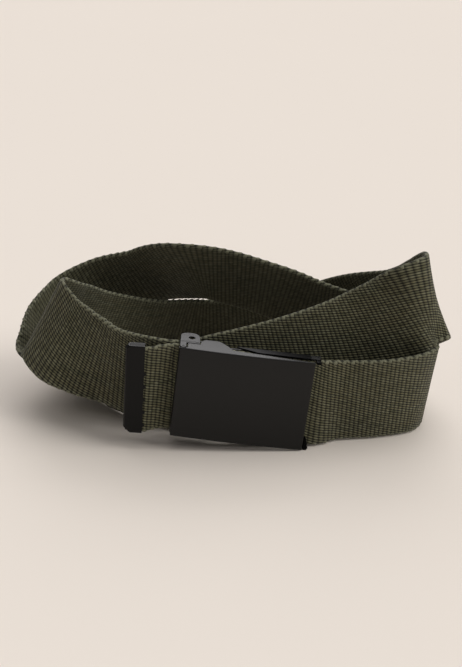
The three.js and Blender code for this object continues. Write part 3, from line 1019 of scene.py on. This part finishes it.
def tip_shell(bm):
    """A folded sheet: two walls joined by a round fold at the strap's end, with its corners cut."""
    half = STRAP_WIDTH / 2 + TIP_OVERHANG
    gap = STRAP_THICKNESS / 2 + CLEARANCE
    deep = gap + TIP_WALL
    left = -(TIP_WALL + CLEARANCE)
    right = TIP_LENGTH + left
    fold_steps = 10
    heights = [(-half, TIP_CORNER_CUT), (-half + TIP_CORNER_CUT, 0), (0, 0),
               (half - TIP_CORNER_CUT / 2, 0), (half, TIP_CORNER_CUT / 2)]
    rings = []
    for height, cut in heights:
        fold = left + cut + TIP_WALL * 1.6
        section = [(right, -deep)]
        section += [(fold - TIP_WALL * 1.6 * math.sin(math.pi * k / fold_steps),
                     -deep * math.cos(math.pi * k / fold_steps)) for k in range(fold_steps + 1)]
        section += [(right, deep), (right, gap)]
        section += [(fold - TIP_WALL * 0.8 * math.sin(math.pi * k / fold_steps),
                     gap * math.cos(math.pi * k / fold_steps)) for k in range(fold_steps + 1)]
        section += [(right, -gap)]
        rings.append([bm.verts.new((x, y, height)) for x, y in section])
    count = len(rings[0])
    for lower, upper in zip(rings, rings[1:]):
        for j in range(count):
            k = (j + 1) % count
            bm.faces.new((lower[j], lower[k], upper[k], upper[j]))
    side = fold_steps + 3
    for ring, flip in ((rings[0], True), (rings[-1], False)):
        for j in range(side - 1):
            corner = [ring[j], ring[j + 1], ring[count - 2 - j], ring[count - 1 - j]]
            bm.faces.new(list(reversed(corner)) if flip else corner)
    bmesh.ops.recalc_face_normals(bm, faces=bm.faces)
    sharp = [e for e in bm.edges if len(e.link_faces) == 2 and e.calc_face_angle() > math.radians(40)]
    bmesh.ops.bevel(bm, geom=sharp, offset=0.14, segments=2, affect="EDGES", profile=0.5)


def tip_caps():
    """The folded-in ends that close the tip above and below the strap."""
    half = STRAP_WIDTH / 2 + TIP_OVERHANG
    deep = STRAP_THICKNESS / 2 + CLEARANCE + TIP_WALL / 2
    left = -(TIP_WALL + CLEARANCE)
    right = TIP_LENGTH + left - 0.1
    bm = bmesh.new()
    for end, cut in ((-1, TIP_CORNER_CUT), (1, TIP_CORNER_CUT / 2)):
        start = left + cut + TIP_WALL
        low, high = sorted((end * (half - 0.02), end * (half - TIP_CAP)))
        edge_on(bm, [[(start, -deep), (right, -deep), (right, deep), (start, deep)]], low, high, 0.05)
    # The caps get the darker coat: painted shade that dims their lit tops.
    metal_piece("tip_caps", bm, tip_seat(), "belt", SHADED_BLACK_METAL)


def tip_prongs(bm):
    half = STRAP_WIDTH / 2 + TIP_OVERHANG
    right = TIP_LENGTH - TIP_WALL - CLEARANCE
    middle = STRAP_THICKNESS / 2 + CLEARANCE + TIP_WALL / 2
    for side in (-1, 1):
        for i in range(TIP_PRONGS):
            height = -half + TIP_FIRST_PRONG + i * TIP_PRONG_SPACING
            outline = [(right - 0.6, height - TIP_PRONG_WIDTH / 2), (right, height - TIP_PRONG_WIDTH / 2),
                       (right + TIP_PRONG_REACH, height), (right, height + TIP_PRONG_WIDTH / 2),
                       (right - 0.6, height + TIP_PRONG_WIDTH / 2)]
            depth = side * middle
            face_on(bm, [outline], depth - TIP_WALL / 2 + 0.05, depth + TIP_WALL / 2 - 0.05, 0.06)


def strap_tip():
    bm = bmesh.new()
    tip_shell(bm)
    tip_prongs(bm)
    made = metal_piece("tip_shell", bm, tip_seat(), "belt", TIP_METAL)
    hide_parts("strap_tip")
    tip_caps()


def strap():
    woven = new_object("woven_strap", strap_mesh())
    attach(woven, "belt")
    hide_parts("webbing_strap")
    edges = new_object("braided_edges", selvage_mesh())
    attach(edges, "belt")


def floor():
    mesh = bpy.data.meshes.new("floor")
    far = FLOOR_REACH
    mesh.from_pydata([(-far, -far, 0), (far, -far, 0), (far, far, 0), (-far, far, 0)], [], [(0, 1, 2, 3)])
    mesh.materials.append(FLOOR)
    new_object("floor", mesh)


def soft_light(name, strength, angle, elevation, azimuth, colour):
    """A wide soft light. Azimuth 0 shines from the camera's side and 90 from the right."""
    light = bpy.data.lights.new(name, "SUN")
    light.energy = strength
    light.angle = math.radians(angle)
    light.color = colour
    lamp = new_object(name, light)
    side = math.radians(azimuth)
    rise = math.radians(elevation)
    source = Vector((math.sin(side) * math.cos(rise), -math.cos(side) * math.cos(rise), math.sin(rise)))
    lamp.rotation_mode = "QUATERNION"
    lamp.rotation_quaternion = source.to_track_quat("Z", "Y")


def studio():
    world = bpy.data.worlds.new("studio")
    world.use_nodes = True
    sheet = Sheet(world.node_tree)
    sky = sheet.add("ShaderNodeBackground", None, {"Color": (1.0, 0.975, 0.95, 1), "Strength": 0.24})
    sheet.add("ShaderNodeOutputWorld", None, {"Surface": sky.outputs[0]})
    bpy.context.scene.world = world
    soft_light("overhead", 1.25, 70, 72, 140, (1.0, 0.985, 0.97))
    soft_light("behind", 1.15, 46, 30, 178, (1.0, 0.98, 0.99))
    soft_light("right", 1.3, 40, 36, 70, (1.0, 0.985, 0.955))
    bpy.context.scene.view_settings.view_transform = "Standard"


def camera():
    """The photograph's viewing angle: 22 degrees down, from half a metre away."""
    place = Vector((0, -CAMERA_BACK, CAMERA_HEIGHT)) + shift
    data = bpy.data.cameras.new("camera")
    data.lens = CAMERA_LENS
    data.sensor_width = 36
    holder = new_object("camera", data)
    holder.location = place * MM
    holder.rotation_euler = (math.radians(90 - CAMERA_PITCH), 0, 0)
    bpy.context.scene.camera = holder


strap()
buckle_cover()
buckle_frame()
end_clamp()
hinge_pin()
strap_tip()
floor()
studio()
camera()
